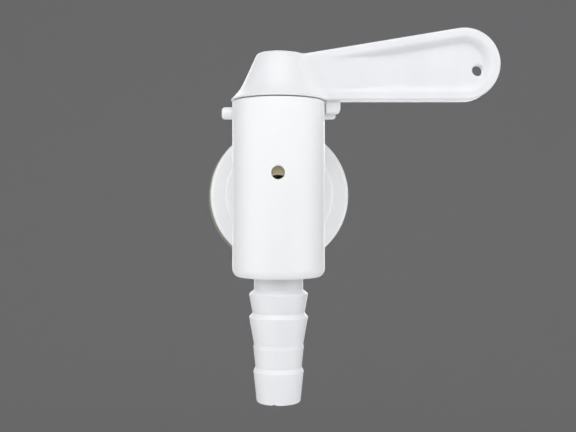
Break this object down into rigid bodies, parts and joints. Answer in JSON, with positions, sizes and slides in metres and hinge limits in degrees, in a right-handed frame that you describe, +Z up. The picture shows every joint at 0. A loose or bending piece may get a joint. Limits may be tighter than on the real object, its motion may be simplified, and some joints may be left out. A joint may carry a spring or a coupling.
{
  "type": "fermenter tap",
  "caption": "Plastic lever tap: upright sleeve with a flanged, threaded shank, and a turning plug with paddle lever and barbed hose tail in one moulding.",
  "frame": {"origin": "centre of the washer's sealing face, on the shank's axis", "axes": "+Y along the shank into the vessel, +Z up the sleeve, lever to +X when the tap is shut"},
  "size_m": [0.0805, 0.0629, 0.1007],
  "materials": {
    "body_plastic": "satin white moulded plastic",
    "spigot_plastic": "satin milky moulded plastic",
    "washer_rubber": "dull rubber"
  },
  "bodies": {
    "body": {"tap_body": "body_plastic", "sealing_washer": "washer_rubber"},
    "spigot": {"lever_spigot": "spigot_plastic"}
  },
  "joints": [
    {"name": "lever_turn", "type": "hinge", "parent": "body", "child": "spigot", "pos_m": [0, -0.025, 0], "axis": [0, 0, -1], "range_deg": [0, 180]}
  ]
}
